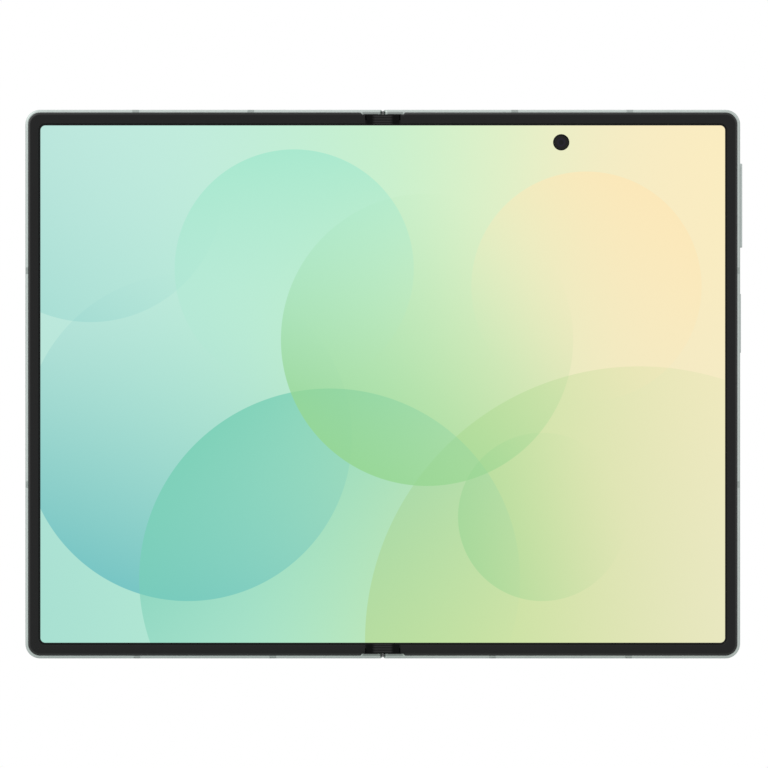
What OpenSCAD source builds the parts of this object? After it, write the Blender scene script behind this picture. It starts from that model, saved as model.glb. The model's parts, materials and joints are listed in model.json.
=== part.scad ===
// Foldable smartphone, unfolded and standing on its lower long edge, screen towards -Y.
// Most pieces are drawn lying flat (x right, y up, z towards the viewer, back cover at z = 0)
// and are then stood up. The left half mirrors the right one.

/* [Body] */
// Width of one half, from the fold to the outer edge
half_w = 80.7; // [78:0.1:84]
// Height of the unfolded phone
body_h = 123.9; // [118:0.1:130]
// Thickness of a half, from the back cover to the top of the bezel
body_t = 4.9; // [4.7:0.05:5.6]
// Radius of the outer corners, seen from the front
corner_r = 3.3; // [2.6:0.1:5]
// Rounding of the frame's rear edge
edge_back = 0.6; // [0.4:0.05:0.8]
// Rounding of the frame's front edge
edge_front = 0.45; // [0.3:0.05:0.5]
// Width of the metal lip around the bezel
lip_w = 0.6; // [0.5:0.05:0.9]
// Thickness of the frame's side rails
rail_t = 1.5; // [1.3:0.1:1.9]
// Thickness of the plate between the screen and the inner pockets
mid_t = 0.5; // [0.4:0.05:0.7]
// Width of a plastic antenna break
break_w = 1.5; // [1:0.1:2]

/* [Screen] */
// Unlit border at the outer side edges
side_border = 3.4; // [3:0.1:4.5]
// Unlit border at the upper and lower edges
end_border = 3.55; // [3.3:0.05:4.5]
// Black line between the lit area and the bezel
black_line = 0.2; // [0.1:0.05:0.4]
// Corner radius of the lit area
lit_r = 1.1; // [0.5:0.1:2.5]
// Thickness of the folding panel
panel_t = 0.32; // [0.25:0.01:0.4]
// Thickness of the steel plate behind the panel
plate_t = 0.25; // [0.2:0.01:0.3]
// Height of the bezel above the screen
bezel_t = 0.2; // [0.15:0.01:0.3]
// Half the width of the stretch that folds
fold_w = 4; // [3.8:0.1:4.4]
// Diameter of the front camera hole
punch_d = 3.7; // [3.2:0.1:4.4]

/* [Hinge] */
// Distance of each fold axis from the middle
axis_x = 1.4; // [1.35:0.01:1.45]
// Gap between the bezels of the folded phone
closed_gap = 0.1; // [0.06:0.01:0.2]
// Gap between the two half frames at the fold
fold_gap = 0.3; // [0.28:0.01:0.4]
// Outer radius of the spine cover
spine_r = 2.9; // [2.8:0.01:2.92]
// Wall of the spine cover
spine_wall = 0.45; // [0.4:0.01:0.5]
// Thickness of the frame's end walls over the ends of the spine
end_wall = 1.05; // [0.95:0.05:1.3]
// Middle of each hinge module, from the edge of the phone
module_end = 13.45; // [12:0.05:16]
// Inner radius of the arms' arc rails
rail_in_r = 1.3; // [1.25:0.01:1.35]
// Outer radius of the arms' arc rails
rail_out_r = 2.1; // [2.05:0.01:2.15]
// Length of an arc rail along the spine
rail_len = 4; // [3:0.1:4.5]
// Pitch radius of the pinions
pinion_r = 0.42; // [0.4:0.005:0.43]
// Teeth of a pinion
pinion_teeth = 10; // [9:1:11]

/* [Cameras] */
// Height of the island above the rear glass
island_t = 1.3; // [1:0.1:1.8]
// Width of the island's border around a lens ring
island_border = 2.35; // [1.5:0.05:4]
// Radius of a rear lens window
window_r = 5.2; // [4.6:0.1:5.6]
// Width of a lens ring around its window
ring_w = 2.2; // [1.4:0.1:2.8]
// Height of a lens ring above the island
ring_t = 0.7; // [0.5:0.1:0.8]
// Gap between the two lens rings
lens_gap = 1.8; // [1:0.1:4]
// Radius of the flash window
flash_r = 2.1; // [1.6:0.1:2.6]

/* [Keys and tray] */
// Length of the volume key
volume_l = 19; // [16:0.1:22]
// Middle of the volume key, below the upper edge
volume_end = 21.65; // [18:0.05:24]
// Length of the power key
power_l = 13.4; // [11:0.1:15]
// Middle of the power key, below the upper edge
power_end = 48.25; // [46:0.05:52]
// Height of both keys, front to back
key_h = 1.9; // [1.5:0.05:2.2]
// How far the volume key stands out of the edge
volume_out = 0.48; // [0.4:0.02:0.7]
// How far the power key stands out of the edge
power_out = 0.18; // [0.16:0.02:0.4]
// Middle of the card tray, above the lower edge
tray_end = 14.95; // [12:0.05:18]
// Length of the card tray's outer face
tray_l = 15.4; // [14:0.1:17]
// Thickness of the card tray's outer face
tray_h = 1.9; // [1.7:0.05:2.1]
// Depth of the card tray
tray_depth = 14.5; // [13:0.1:16]

/* [Hidden] */
$fn = 48;

frame_colour = "#b3beba";
plastic_colour = "#27292a";
steel_colour = "#9a9d9f";

half_h = body_h / 2;
lit_w = 2 * (half_w - side_border);
lit_h = body_h - 2 * end_border;
frame_top = body_t - 0.15; // the bezel stands 0.15 proud of the metal lip
screen_top = body_t - bezel_t;
screen_bottom = screen_top - panel_t;
plate_bottom = screen_bottom - plate_t;
mid_top = plate_bottom;
mid_bottom = mid_top - mid_t;
glass_t = 0.57;
glass_edge = 0.15; // chamfer around a back cover
inset_w = 0.7; // metal left bare around a back cover
slide_gap = 0.1; // clearance around what slides or turns
fit_gap = 0.05; // clearance around what is glued or pressed in
through = 1; // how far a cut runs past the solid

axis_z = body_t - axis_x + closed_gap / 2;
half_in = fold_gap / 2;
nose_r = axis_x - half_in;
recess_r = spine_r + slide_gap;
back_wall = axis_z - recess_r;
recess_x = axis_x + recess_r;
spine_in_r = spine_r - spine_wall;
spine_top = 2.7;
module_y = half_h - module_end;
spine_l = body_h - 2 * (end_wall + slide_gap);
cap_t = 0.8;
cover_start = recess_x + 0.5; // where the back covers begin
pocket_start = recess_x + 2;

lip_zone = 4.6; // the lip over the hinge is deeper up to here
notch_r = 0.45;
panel_border = 1.2; // unlit border of the panel, under the bezel
panel_x = lit_w / 2 + panel_border;
panel_y = lit_h / 2 + panel_border;
bridge_half = fold_w - 0.3;
bridge_hump = 2; // half the width of the raised middle of a fold bridge
bridge_foot = 1.2; // half the width of its foot
wing_half = half_h - end_wall - 2.6; // half the length of the plates under the fold
wing_inset = 0.35; // from the fold axis to a wing plate
plate_split = recess_x + 5; // where a wing plate meets the support plate

arm_t = 0.8;
arm_top = mid_bottom;
arm_end = recess_x + 7.5;
arm_sweep = 150; // angle covered by an arc rail
rack_len = 1.8; // length of the toothed sectors along the spine
web_t = 1; // webs that carry the pinions' journals
gear_zone_half = rack_len + web_t + 0.9; // half the length of the gap in the centre plate
journal_r = 0.24;
tooth_m = 2 * pinion_r / pinion_teeth;
pinion_z = axis_z - 1.93;
channel_z = 1.6; // floor of the channel that the centre plate sinks into
rack_r = norm([axis_x - pinion_r, axis_z - pinion_z]) - pinion_r;
rack_teeth = 2 * rack_r / tooth_m; // teeth of a full circle; only a sector is cut
contact_angle = atan2(pinion_z - axis_z, pinion_r - axis_x);
right_phase = 180; // a tooth of the right pinion points at the left one
left_phase = 180 / pinion_teeth; // a gap of the left pinion faces it
housing_half = rail_len + rack_len + web_t + 0.7; // half the length of a hinge housing
screw_in = 3.4; // from the recess to the first screw
screw_pitch = 2.6;
screw_x = [recess_x + screw_in, recess_x + screw_in + screw_pitch];
screw_r = 0.4;
screw_head_r = 0.95;
screw_head_t = 0.3;

// Antenna breaks: middles across the upper, lower and side rails
upper_breaks = [half_w - 50.9, half_w - 24.9];
lower_breaks = [half_w - 55.9, half_w - 25.2];
side_breaks = [half_h - 36.35, 39.25 - half_h];

punch_x = half_w / 2 - 0.05;
punch_y = lit_h / 2 - 3.8;
ring_r = window_r + ring_w;
lens_pitch = 2 * ring_r + lens_gap;
flash_gap = 0.55; // from the lower lens ring to the flash
flash_end = 5.6; // from the flash to the end of the island
flash_drop = ring_r + flash_gap + flash_r; // from the lower lens to the flash
island_side = 5.4; // from the island to the outer side edge
island_end = 4.7; // from the island to the upper edge
island_w = 2 * (ring_r + island_border);
island_l = island_w / 2 + lens_pitch + flash_drop + flash_end;
island_x = half_w - island_side - island_w / 2;
island_y = half_h - island_end - island_l / 2;
lens_top = half_h - island_end - island_w / 2;
lens_y = [lens_top, lens_top - lens_pitch];
flash_y = lens_top - lens_pitch - flash_drop;
bump = island_t + ring_t;

pocket_x = half_w - rail_t;
pocket_y = half_h - rail_t;
pocket_r = 2;
board_t = 0.7;
can_border = 3; // bare board around the shield cans
can_gap = 2;
camera_block = 3.2; // half the side of a small camera module
rib_t = 0.9;
battery_top = half_h - 49.95; // the battery pocket ends here, below the boards
battery_bottom = 23.95 - half_h;
key_z = frame_top / 2;
volume_y = half_h - volume_end;
power_y = half_h - power_end;
flange_t = 0.5;
key_room = 2; // depth behind the rail that the keys and their switches take
tray_y = tray_end - half_h;
tray_z = frame_top / 2;
tray_body_t = 1;
tray_body_l = tray_l - 2.4;
port_x = half_w / 2;
port_wall = 0.22;
port_w = 8.34 + 2 * port_wall;
port_h = 2.56 + 2 * port_wall;
port_z = (glass_t + mid_bottom) / 2;
port_depth = 7.4;
magnet_y = half_h - 7.45;
magnet_l = 7;
magnet_w = 1.2;
magnet_in = pocket_x - magnet_w - slide_gap; // the magnets' inner face
speaker_w = 18;
speaker_x = magnet_in - 0.9 - speaker_w / 2;
earpiece_x = half_w - 31.2;
earpiece_w = 11.6;
mic_x = half_w - 49.7;
grille_pitch = 2.2;
grille_r = 0.55;

// ---------- shared forms ----------

// Stands a piece that was drawn lying flat on its lower edge, centred in depth
module stand() {
    translate([0, (body_t - bump) / 2, half_h]) rotate([90, 0, 0]) children();
}

module mirrored() {
    mirror([1, 0, 0]) children();
}

module upside_down() {
    translate([0, 0, body_h]) mirror([0, 0, 1]) children();
}

// A section drawn across the fold (x, z), drawn out along y from y0 to y1
module along(y0, y1) {
    translate([0, y1, 0]) rotate([90, 0, 0]) linear_extrude(y1 - y0) children();
}

module round_rect(x0, y0, x1, y1, r) {
    translate([x0 + r, y0]) square([x1 - x0 - 2 * r, y1 - y0]);
    translate([x0, y0 + r]) square([x1 - x0, y1 - y0 - 2 * r]);
    for (x = [x0 + r, x1 - r], y = [y0 + r, y1 - r]) translate([x, y]) circle(r);
}

// Outline of a half seen from the front: square at the fold, round at the outer corners
module half_outline(x_in, x_out, y_out, r) {
    translate([x_in, -y_out]) square([x_out - r - x_in, 2 * y_out]);
    translate([x_in, r - y_out]) square([x_out - x_in, 2 * (y_out - r)]);
    for (y = [r - y_out, y_out - r]) translate([x_out - r, y]) circle(r);
}

// Section of the frame's outer edge, from x0 out to x1
module edge_section(x0, x1) {
    translate([x0, 0]) square([x1 - edge_back - x0, frame_top]);
    translate([x0, edge_back]) square([x1 - x0, frame_top - edge_back - edge_front]);
    translate([x0, edge_back]) square([x1 - edge_front - x0, frame_top - edge_back]);
    translate([x1 - edge_back, edge_back]) circle(edge_back);
    translate([x1 - edge_front, frame_top - edge_front]) circle(edge_front);
}

// The solid outer form of a half frame
module half_slab() {
    straight = half_w - corner_r - half_in;
    along(corner_r - half_h, half_h - corner_r) edge_section(half_in, half_w);
    for (s = [0, 1]) mirror([0, s, 0]) {
        translate([half_in, 0, 0]) rotate([90, 0, 90]) linear_extrude(straight)
            edge_section(half_h - corner_r, half_h);
        translate([half_w - corner_r, half_h - corner_r, 0]) rotate_extrude(angle = 90)
            edge_section(0, corner_r);
    }
}

// What a half may fill beside the fold: a round nose about its axis, open above it
module fold_side_section() {
    translate([half_in, -through]) square([half_w, axis_z + through]);
    translate([axis_x, axis_z]) circle(nose_r);
    translate([axis_x, 0]) square([half_w, body_t]);
}

// The space that the spine turns in
module recess_section() {
    translate([axis_x, axis_z]) circle(recess_r);
    translate([-through, back_wall]) square([axis_x + through, body_t]);
    translate([-through, axis_z]) square([recess_x + through, body_t]);
}

// Rounds the frame's corners beside the fold, which leaves the small V at each edge
module fold_corner_cut() {
    for (s = [0, 1]) mirror([0, s, 0]) translate([0, half_h - notch_r, -through])
        linear_extrude(body_t + 2 * through) difference() {
            square([half_in + notch_r, notch_r + through]);
            translate([half_in + notch_r, 0]) circle(notch_r);
        }
}

// The deeper lip over the ends of the hinge, with slanted ends
module deep_lip() {
    step = end_wall - lip_w;
    for (s = [0, 1]) mirror([0, s, 0]) polygon([
        [0, half_h + through], [0, half_h - end_wall], [lip_zone, half_h - end_wall],
        [lip_zone + step, half_h - lip_w], [lip_zone + step, half_h + through]
    ]);
}

// Outline inside the metal lip, shared by the frame's recess and the bezel
module inside_lip(x_in, gap) {
    difference() {
        half_outline(x_in, half_w - lip_w - gap, half_h - lip_w - gap, corner_r - lip_w - gap);
        translate([0, -gap]) deep_lip();
        translate([0, gap]) deep_lip();
    }
}

module back_cover_outline(gap) {
    inset = inset_w + gap;
    half_outline(cover_start + gap, half_w - inset, half_h - inset, corner_r - inset);
}

module capsule(x, y, w, l) {
    translate([x - w / 2, y - l / 2 + w / 2]) square([w, l - w]);
    for (s = [-1, 1]) translate([x, y + s * (l - w) / 2]) circle(w / 2);
}

// The same lying along x, for the openings in the lower and upper edges
module capsule_flat(x, y, w, h) {
    translate([x - w / 2 + h / 2, y - h / 2]) square([w - h, h]);
    for (s = [-1, 1]) translate([x + s * (w - h) / 2, y]) circle(h / 2);
}

// A row of round holes about x
module grille(x, count) {
    for (i = [0 : count - 1]) translate([x + (i - (count - 1) / 2) * grille_pitch, -frame_top / 2])
        circle(grille_r);
}

// Lens positions on the camera island
module at_lenses() {
    for (y = lens_y) translate([island_x, y, 0]) children();
}

// Middle of an arm's arc rail and of its toothed sector, for the right (1) and left (-1) arm
function arm_y(side) = module_y + side * (rack_len + web_t + rail_len / 2 + 0.35);
function rack_y(side) = module_y + side * (rack_len / 2 + 0.1);

// Stadium form of the spine, with a given radius about both fold axes
module spine_section(r) {
    difference() {
        union() {
            for (s = [-1, 1]) translate([s * axis_x, axis_z]) circle(r);
            translate([-axis_x, axis_z - r]) square([2 * axis_x, r]);
        }
        translate([-half_w / 2, spine_top]) square([half_w, body_t]);
    }
}

// Key seen from the side, and the same outline around it
module key_outline(y, l, gap) {
    capsule(0, y, key_h + 2 * gap, l + 2 * gap);
}

// Drawn in (z, y), drawn out along x from x0 to x1
module across(x0, x1) {
    translate([x0, 0, key_z]) rotate([0, 90, 0]) linear_extrude(x1 - x0) children();
}

// One cut right through the frame, centred at (x, y) seen from the front
module break_slot(x, y, w, h) {
    translate([x - w / 2, y - h / 2, -through]) cube([w, h, body_t + 2 * through]);
}

module break_slots() {
    for (x = upper_breaks) break_slot(x, half_h, break_w, 2 * rail_t);
    for (x = lower_breaks) break_slot(x, -half_h, break_w, 2 * rail_t);
    for (y = side_breaks) break_slot(half_w, y, 2 * rail_t, break_w);
}

// ---------- half frames ----------

// The machined half frame, before the openings that only one half has
module frame_body() {
    difference() {
        intersection() {
            half_slab();
            along(-half_h - through, half_h + through) fold_side_section();
        }
        fold_corner_cut();
        // the spine's space, closed by an end wall at each end
        along(end_wall - half_h, half_h - end_wall) recess_section();
        // seat of the screen and its bezel
        translate([0, 0, mid_top]) linear_extrude(body_t) inside_lip(-through, 0);
        // seat of the back cover
        translate([0, 0, -through]) linear_extrude(through + glass_t) back_cover_outline(0);
        break_slots();
        for (s = [0, 1]) mirror([0, s, 0]) {
            arm_pocket(1);
            arm_pocket(-1);
        }
    }
}

// Way for an arm through the wall beside the hinge, and its screw holes
module arm_pocket(side) {
    y = arm_y(side);
    translate([axis_x, y - rail_len / 2 - slide_gap, arm_top - arm_t - slide_gap])
        cube([pocket_start - axis_x + through, rail_len + 2 * slide_gap, arm_t + slide_gap]);
    rack = rack_y(side);
    translate([axis_x, rack - rack_len / 2 - slide_gap, arm_top - arm_t - slide_gap])
        cube([pocket_start - axis_x + through, rack_len + 2 * slide_gap, arm_t + slide_gap]);
    for (x = screw_x) translate([x, y, arm_top - through])
        cylinder(r = screw_r + fit_gap, h = mid_t + through - 0.1);
}

// Inner pockets for the boards, the battery and the lower parts
module pockets() {
    translate([0, 0, glass_t - 0.01]) linear_extrude(mid_bottom - glass_t + 0.01) {
        round_rect(pocket_start, battery_top + rib_t, pocket_x, pocket_y, pocket_r);
        round_rect(pocket_start, battery_bottom, pocket_x, battery_top, pocket_r);
        round_rect(pocket_start, -pocket_y, pocket_x, battery_bottom - rib_t, pocket_r);
    }
}

module right_frame() {
    color(frame_colour) stand() difference() {
        frame_body();
        pockets();
        // front camera barrel
        translate([punch_x, punch_y, 0]) cylinder(d = punch_d + 0.6, h = body_t);
        // ways for the two keys through the rail
        across(pocket_x - through, half_w + through) key_outline(volume_y, volume_l, slide_gap);
        across(pocket_x - through, half_w + through) key_outline(power_y, power_l, slide_gap);
        // room behind the keys, through the rib between the pockets
        translate([pocket_x - key_room, power_y - power_l / 2 - 1.4, glass_t])
            cube([key_room, volume_y - power_y + volume_l, mid_bottom - glass_t]);
        // receptacle, loudspeaker and microphone openings in the lower edge
        translate([0, -half_h - through, 0]) rotate([-90, 0, 0]) linear_extrude(rail_t + 2 * through) {
            capsule_flat(port_x, -port_z, port_w + 2 * fit_gap, port_h + 2 * fit_gap);
            grille(speaker_x, 6);
            grille(mic_x, 1);
        }
        // earpiece openings in the upper edge
        translate([0, half_h - rail_t - through, 0]) rotate([-90, 0, 0])
            linear_extrude(rail_t + 2 * through) {
                grille(earpiece_x, 5);
                grille(mic_x + 10, 1);
            }
    }
}

module left_frame() {
    color(frame_colour) stand() mirrored() difference() {
        frame_body();
        pockets();
        // slot of the card tray: its outer face, then its thinner body
        translate([half_w - 1.2 - fit_gap, tray_y - tray_l / 2 - slide_gap, tray_z - tray_h / 2 - slide_gap])
            cube([rail_t + through, tray_l + 2 * slide_gap, tray_h + 2 * slide_gap]);
        translate([pocket_x - through, tray_y - tray_body_l / 2 - slide_gap,
            tray_z - tray_body_t / 2 - slide_gap])
            cube([rail_t + through, tray_body_l + 2 * slide_gap, tray_body_t + 2 * slide_gap]);
    }
}

// Plastic that fills the antenna breaks, flush with the metal
module antenna_breaks() {
    color("#99a39f") stand() intersection() {
        difference() {
            half_slab();
            translate([0, 0, mid_top]) linear_extrude(body_t) inside_lip(-through, 0);
            translate([0, 0, -through]) linear_extrude(through + glass_t) back_cover_outline(0);
        }
        break_slots();
    }
}

module right_antenna_breaks() {
    antenna_breaks();
}

module left_antenna_breaks() {
    mirrored() antenna_breaks();
}

// ---------- screen ----------

module bezel() {
    color(plastic_colour) stand() difference() {
        translate([0, 0, mid_top]) linear_extrude(body_t - mid_top) inside_lip(fold_w, fit_gap);
        // the panel lies under the bezel's inner part
        translate([0, 0, mid_top - through]) linear_extrude(screen_top - mid_top + through)
            half_outline(-through, panel_x + fit_gap, panel_y + fit_gap, lit_r + panel_border);
        translate([0, 0, mid_top]) linear_extrude(body_t)
            half_outline(-through, lit_w / 2 + black_line, lit_h / 2 + black_line, lit_r + black_line);
    }
}

module right_bezel() {
    bezel();
}

module left_bezel() {
    mirrored() bezel();
}

module panel() {
    color("#bfe6d2") stand() translate([0, 0, screen_bottom]) linear_extrude(panel_t)
        half_outline(fold_w, panel_x, panel_y, lit_r + panel_border);
}

module right_screen() {
    difference() {
        panel();
        stand() translate([punch_x, punch_y, 0]) cylinder(d = punch_d, h = body_t);
    }
}

module left_screen() {
    mirrored() panel();
}

// The stretch of the panel that bends, between the two flat ones
module fold_screen() {
    color("#bfe6c2") stand() translate([fit_gap - fold_w, -panel_y, screen_bottom + fit_gap])
        cube([2 * (fold_w - fit_gap), 2 * panel_y, panel_t - fit_gap]);
}

module support_plate() {
    color(steel_colour) stand() translate([0, 0, plate_bottom]) linear_extrude(plate_t) difference() {
        half_outline(plate_split, panel_x, panel_y, lit_r + panel_border);
        translate([punch_x, punch_y]) circle(d = punch_d + 0.6);
    }
}

module right_support_plate() {
    support_plate();
}

module left_support_plate() {
    mirrored() support_plate();
}

// Thin plate that carries the edge of the folding stretch
module wing_plate() {
    color(steel_colour) stand() translate([0, 0, plate_bottom]) linear_extrude(plate_t)
        translate([axis_x + wing_inset, -wing_half])
            square([plate_split - slide_gap - axis_x - wing_inset, 2 * wing_half]);
}

module right_wing_plate() {
    wing_plate();
}

module left_wing_plate() {
    mirrored() wing_plate();
}

// Plate under the middle of the fold, which sinks as the phone closes. It is cut out over the gears.
module centre_plate() {
    plate_half_w = axis_x - 0.1;
    color(steel_colour) stand() translate([0, 0, plate_bottom - 0.08]) difference() {
        translate([-plate_half_w, -wing_half, 0]) cube([2 * plate_half_w, 2 * wing_half, 0.3]);
        for (s = [-1, 1]) translate([-half_w / 2, s * module_y - gear_zone_half, -through])
            cube([half_w, 2 * gear_zone_half, body_t]);
    }
}

// Bezel piece over an end of the fold: a thin apron, a raised middle and a foot on the spine
module fold_bridge() {
    inner = lit_h / 2 + black_line;
    outer = half_h - end_wall - slide_gap;
    color(plastic_colour) stand() {
        translate([-bridge_half, inner, screen_top]) cube([2 * bridge_half, outer - inner, bezel_t * 0.6]);
        translate([-bridge_hump, inner, screen_top]) cube([2 * bridge_hump, outer - inner, bezel_t]);
        translate([-bridge_foot, panel_y + fit_gap, spine_top])
            cube([2 * bridge_foot, outer - panel_y - fit_gap, screen_top - spine_top]);
    }
}

module top_fold_bridge() {
    fold_bridge();
}

module bottom_fold_bridge() {
    translate([0, 0, body_h]) mirror([0, 0, 1]) fold_bridge();
}

// ---------- hinge ----------

module spine_cover() {
    l = spine_l / 2 - cap_t;
    color("#a7b1ae") stand() along(-l, l) difference() {
        spine_section(spine_r);
        spine_section(spine_in_r);
    }
}

module spine_cap(side) {
    y0 = spine_l / 2 - cap_t;
    color("#a7b1ae") stand() mirror([0, side < 0 ? 1 : 0, 0]) along(y0, y0 + cap_t) spine_section(spine_r);
}

module top_spine_cap() {
    spine_cap(1);
}

module bottom_spine_cap() {
    spine_cap(-1);
}

// Outline of a spur gear, with a tooth pointing at the angle phase
function gear_points(r, teeth, m, phase, tip, root) = [
    for (i = [0 : teeth - 1]) let (a = phase + i * 360 / teeth, q = 90 / teeth)
        each [
            (r - root * m) * [cos(a - 1.55 * q), sin(a - 1.55 * q)],
            (r + tip * m) * [cos(a - 0.5 * q), sin(a - 0.5 * q)],
            (r + tip * m) * [cos(a + 0.5 * q), sin(a + 0.5 * q)],
            (r - root * m) * [cos(a + 1.55 * q), sin(a + 1.55 * q)]
        ]
];

// Outline of a toothed sector about a fold axis, from angle a0 down to a1, with a gap at gap_angle
function rack_points(a0, a1, gap_angle) = let (
    step = 360 / rack_teeth,
    first = ceil((a1 - gap_angle) / step),
    last = floor((a0 - gap_angle) / step) - 1
) [
    for (i = [first : last]) let (a = gap_angle + (i + 0.5) * step, q = step / 4)
        each [
            (rack_r - 1.1 * tooth_m) * [cos(a - 1.5 * q), sin(a - 1.5 * q)],
            (rack_r + 0.85 * tooth_m) * [cos(a - 0.6 * q), sin(a - 0.6 * q)],
            (rack_r + 0.85 * tooth_m) * [cos(a + 0.6 * q), sin(a + 0.6 * q)],
            (rack_r - 1.1 * tooth_m) * [cos(a + 1.5 * q), sin(a + 1.5 * q)]
        ],
    for (a = [a0 : -10 : a1]) 1.05 * [cos(a), sin(a)],
    1.05 * [cos(a1), sin(a1)]
];

// Wedge about the origin from angle a0 down to a1, used to cut arcs
module wedge(a0, a1, r) {
    polygon([[0, 0], for (a = [a0 : (a1 - a0) / 8 : a1]) r * [cos(a), sin(a)]]);
}

// Arm drawn for the right side: plate with screw holes, smooth arc rail and toothed sector on the fold axis
module arm_solid(side, gap_angle) {
    y = arm_y(side);
    rack = rack_y(side);
    difference() {
        union() {
            along(y - rail_len / 2, y + rail_len / 2) translate([axis_x, axis_z]) intersection() {
                difference() {
                    circle(rail_out_r);
                    circle(rail_in_r);
                }
                wedge(0, -arm_sweep, 2 * rail_out_r);
            }
            translate([axis_x + rail_in_r + 0.2, y - rail_len / 2, arm_top - arm_t])
                cube([arm_end - axis_x - rail_in_r - 0.2, rail_len, arm_t]);
            along(rack - rack_len / 2, rack + rack_len / 2) translate([axis_x, axis_z])
                polygon(rack_points(-8, contact_angle - 97, gap_angle));
            translate([axis_x + 1.15, rack - rack_len / 2, arm_top - arm_t])
                cube([pocket_start + 2 - axis_x - 1.15, rack_len, arm_t]);
            // bar that joins the two plates beyond the hinge wall
            translate([pocket_start + 0.6, min(y, rack), arm_top - arm_t])
                cube([1.4, abs(y - rack), arm_t]);
        }
        for (x = screw_x) translate([x, y, arm_top - arm_t - through])
            cylinder(r = screw_r + slide_gap, h = arm_t + 2 * through);
    }
}

// The gap of the sector that a pinion's tooth sits in at rest
function rack_gap(pinion_phase) = let (
    line = contact_angle + 180,
    step = 360 / pinion_teeth,
    k = round((line - pinion_phase) / step)
) contact_angle - (pinion_phase + k * step - line) * pinion_r / rack_r;

module hinge_arm(side) {
    phase = side > 0 ? right_phase : 180 - left_phase;
    color("#8b9093") stand() arm_solid(side, rack_gap(phase));
}

module top_right_arm() {
    hinge_arm(1);
}

module bottom_right_arm() {
    upside_down() hinge_arm(1);
}

module top_left_arm() {
    mirrored() hinge_arm(-1);
}

module bottom_left_arm() {
    upside_down() mirrored() hinge_arm(-1);
}

module pinion(phase) {
    face = rack_len + 0.25;
    color("#c2a86b") stand() translate([pinion_r, 0, pinion_z]) {
        along(module_y - face, module_y + face)
            polygon(gear_points(pinion_r, pinion_teeth, tooth_m, phase, 0.8, 1.2));
        along(module_y - face - web_t * 0.8, module_y + face + web_t * 0.8) circle(journal_r);
    }
}

module top_right_pinion() {
    pinion(right_phase);
}

module bottom_right_pinion() {
    upside_down() pinion(right_phase);
}

module top_left_pinion() {
    mirrored() pinion(180 - left_phase);
}

module bottom_left_pinion() {
    upside_down() mirrored() pinion(180 - left_phase);
}

// Block in the spine with a round bed for each arc rail and webs for the pinions' journals
module hinge_housing() {
    face = rack_len + 0.35;
    web_out = face + web_t;
    far = module_y + housing_half;
    near = module_y - housing_half;
    color("#6f7579") stand() difference() {
        along(near, far) spine_section(spine_in_r - 0.02);
        // beds of the arc rails
        for (side = [-1, 1])
            along(arm_y(side) - rail_len / 2 - slide_gap, arm_y(side) + rail_len / 2 + slide_gap)
                translate([side * axis_x, axis_z]) difference() {
                    circle(rail_out_r + 0.04);
                    circle(rail_in_r - 0.04);
                }
        // room for the toothed sectors and the pinions
        along(module_y - face, module_y + face) for (side = [-1, 1]) {
            translate([side * axis_x, axis_z]) circle(rack_r + 1.3 * tooth_m);
            translate([side * pinion_r, pinion_z]) circle(pinion_r + 1.3 * tooth_m);
        }
        // channel that the folded screen and the centre plate sink into
        for (y = [near - through, module_y + web_out]) translate([-axis_x, y, channel_z])
            cube([2 * axis_x, housing_half - web_out + through, body_t]);
        // the webs stay low between the arms
        translate([-axis_x - 0.5, module_y - web_out, pinion_z + 0.5])
            cube([2 * axis_x + 1, 2 * web_out, body_t]);
        for (side = [-1, 1]) translate([side * pinion_r, 0, pinion_z])
            along(module_y - web_out - 0.5, module_y + web_out + 0.5) circle(journal_r + 0.03);
    }
}

module top_hinge_housing() {
    hinge_housing();
}

module bottom_hinge_housing() {
    upside_down() hinge_housing();
}

// Screws that hold the arms to the frame, heads towards the back cover
module arm_screws(side) {
    color("#55595c") stand() for (s = [0, 1]) mirror([0, s, 0]) for (x = screw_x) {
        translate([x, arm_y(side), arm_top - arm_t - screw_head_t])
            cylinder(r = screw_head_r, h = screw_head_t);
        translate([x, arm_y(side), arm_top - arm_t - 0.01]) cylinder(r = screw_r, h = arm_t + mid_t - 0.15);
    }
}

module right_arm_screws() {
    arm_screws(1);
}

module left_arm_screws() {
    mirrored() arm_screws(-1);
}

// ---------- back covers and cameras ----------

// Section of a back cover from x0 out to its chamfered edge at x1
module sheet_section(x0, x1) {
    polygon([[x0, 0], [x1 - glass_edge, 0], [x1, glass_edge], [x1, glass_t], [x0, glass_t]]);
}

// Sheet of a back cover, all its edges chamfered towards the back
module cover_sheet() {
    inset = inset_w + fit_gap;
    x_in = cover_start + fit_gap;
    x_out = half_w - inset;
    y_out = half_h - inset;
    r = corner_r - inset;
    difference() {
        union() {
            along(r - y_out, y_out - r) sheet_section(x_in, x_out);
            for (s = [0, 1]) mirror([0, s, 0]) {
                translate([x_in, 0, 0]) rotate([90, 0, 90]) linear_extrude(x_out - r - x_in)
                    sheet_section(y_out - r, y_out);
                translate([x_out - r, y_out - r, 0]) rotate_extrude(angle = 90) sheet_section(0, r);
            }
        }
        along(-half_h, half_h) polygon([
            [x_in - through, -through], [x_in + glass_edge + through, -through],
            [x_in - through, glass_edge + through]
        ]);
    }
}

module rear_glass() {
    color("#c7d8d1") stand() difference() {
        cover_sheet();
        translate([0, 0, -through]) linear_extrude(glass_t + 2 * through)
            capsule(island_x, island_y, island_w + 2 * fit_gap, island_l + 2 * fit_gap);
    }
}

// Section of the island's rounded shoulder
module island_section(r) {
    shoulder = 0.8;
    square([r - shoulder, island_t + glass_t]);
    square([r, island_t + glass_t - shoulder]);
    translate([r - shoulder, island_t + glass_t - shoulder]) circle(shoulder);
}

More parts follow.
